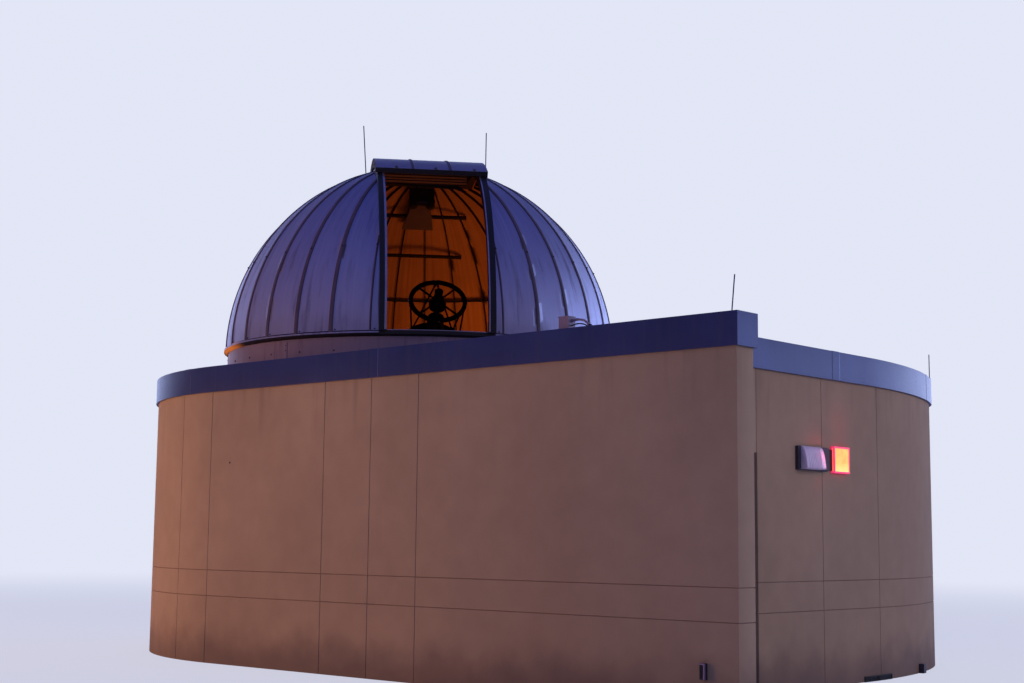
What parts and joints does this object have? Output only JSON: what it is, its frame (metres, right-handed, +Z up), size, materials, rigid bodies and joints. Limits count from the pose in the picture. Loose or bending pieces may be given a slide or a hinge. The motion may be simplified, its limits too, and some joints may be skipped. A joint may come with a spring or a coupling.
{
  "type": "observatory building with a rotating dome",
  "caption": "Small observatory with curved stucco walls, flat roof and fin wall, carrying a ribbed metal dome that turns, with an up-and-over shutter and a truss telescope inside.",
  "frame": {"origin": "on the dome's vertical axis at the level of the ground the walls stand on, at the underside of the floor slab", "axes": "+Z up along the dome's axis; +X along the long front wall towards the fin's free end; +Y from the front wall into the building"},
  "size_m": [10.76, 7.2803, 6.8605],
  "materials": {
    "stucco": "fine sand-finished stucco, matt",
    "concrete": "trowelled concrete",
    "roofing": "light grey roof membrane on a concrete deck",
    "coping_metal": "slate-blue coated sheet, satin",
    "dome_metal": "weathered mill-finish aluminium sheet",
    "dark_steel": "black satin paint",
    "door_paint": "dark grey satin paint",
    "fitting_grey": "dark grey moulded housing",
    "light_lens": "clear ribbed lens, white box",
    "rod_metal": "drawn aluminium rod"
  },
  "bodies": {
    "building": {"back_wall": "stucco", "base_vent": "dark_steel", "coping_back": "coping_metal", "coping_front": "coping_metal", "coping_left_front": "coping_metal", "coping_left_rear": "coping_metal", "coping_rear_corner": "coping_metal", "coping_right_curve": "coping_metal", "coping_side": "coping_metal", "dome_track": "dark_steel", "door_frame": "door_paint", "door_head_wall": "stucco", "door_side_wall": "stucco", "drain_box": "fitting_grey", "emergency_light": "fitting_grey", "fin_rod": "rod_metal", "floor_slab": "concrete", "front_wall": "stucco", "junction_box": "light_lens", "left_wall_front": "stucco", "left_wall_middle": "stucco", "left_wall_rear": "stucco", "lit_sign": "fitting_grey", "outlet_box": "fitting_grey", "rear_corner_wall": "stucco", "right_curved_wall": "stucco", "ring_wall_back": "dome_metal", "ring_wall_front": "dome_metal", "ring_wall_right": "dome_metal", "roof_back": "roofing", "roof_front": "roofing", "roof_left": "roofing", "roof_right": "roofing", "side_rod": "rod_metal", "side_wall": "stucco", "telescope_pier": "concrete"},
    "dome": {"cross_tie_lower": "dark_steel", "cross_tie_upper": "dark_steel", "dome_base_ring": "dome_metal", "dome_hoop": "dark_steel", "dome_rod_left": "rod_metal", "dome_rod_right": "rod_metal", "dome_shell_front_left": "dome_metal", "dome_shell_front_right": "dome_metal", "dome_shell_rear_left": "dome_metal", "dome_shell_rear_right": "dome_metal", "drive_guard": "dark_steel", "shutter_drive": "dark_steel", "slit_header": "dark_steel", "slit_rail_left": "dark_steel", "slit_rail_right": "dark_steel"},
    "shutter": {"shutter_hood": "dome_metal"},
    "door": {"door_leaf": "door_paint"},
    "fork": {"telescope_fork": "dark_steel"},
    "tube": {"mirror_cell": "dark_steel", "telescope_truss": "dark_steel", "secondary_mirror": "dark_steel"}
  },
  "joints": [
    {"name": "dome_turn", "type": "hinge", "parent": "building", "child": "dome", "pos_m": [0, 0, 3.73], "axis": [0, 0, 1], "continuous": true},
    {"name": "shutter_slide", "type": "hinge", "parent": "dome", "child": "shutter", "pos_m": [0, 0, 3.73], "axis": [-0.6437, -0.7653, 0], "range_deg": [-58, 18]},
    {"name": "door_swing", "type": "hinge", "parent": "building", "child": "door", "pos_m": [6.118, -2.5125, 1.2], "axis": [0, 0, -1], "range_deg": [0, 90]},
    {"name": "telescope_azimuth", "type": "hinge", "parent": "building", "child": "fork", "pos_m": [0.09656, 0.11479, 3.2], "axis": [0, 0, 1], "range_deg": [-180, 180]},
    {"name": "telescope_altitude", "type": "hinge", "parent": "fork", "child": "tube", "pos_m": [0.09656, 0.11479, 3.874], "axis": [-0.6437, -0.7653, 0], "range_deg": [-27, 50]}
  ]
}
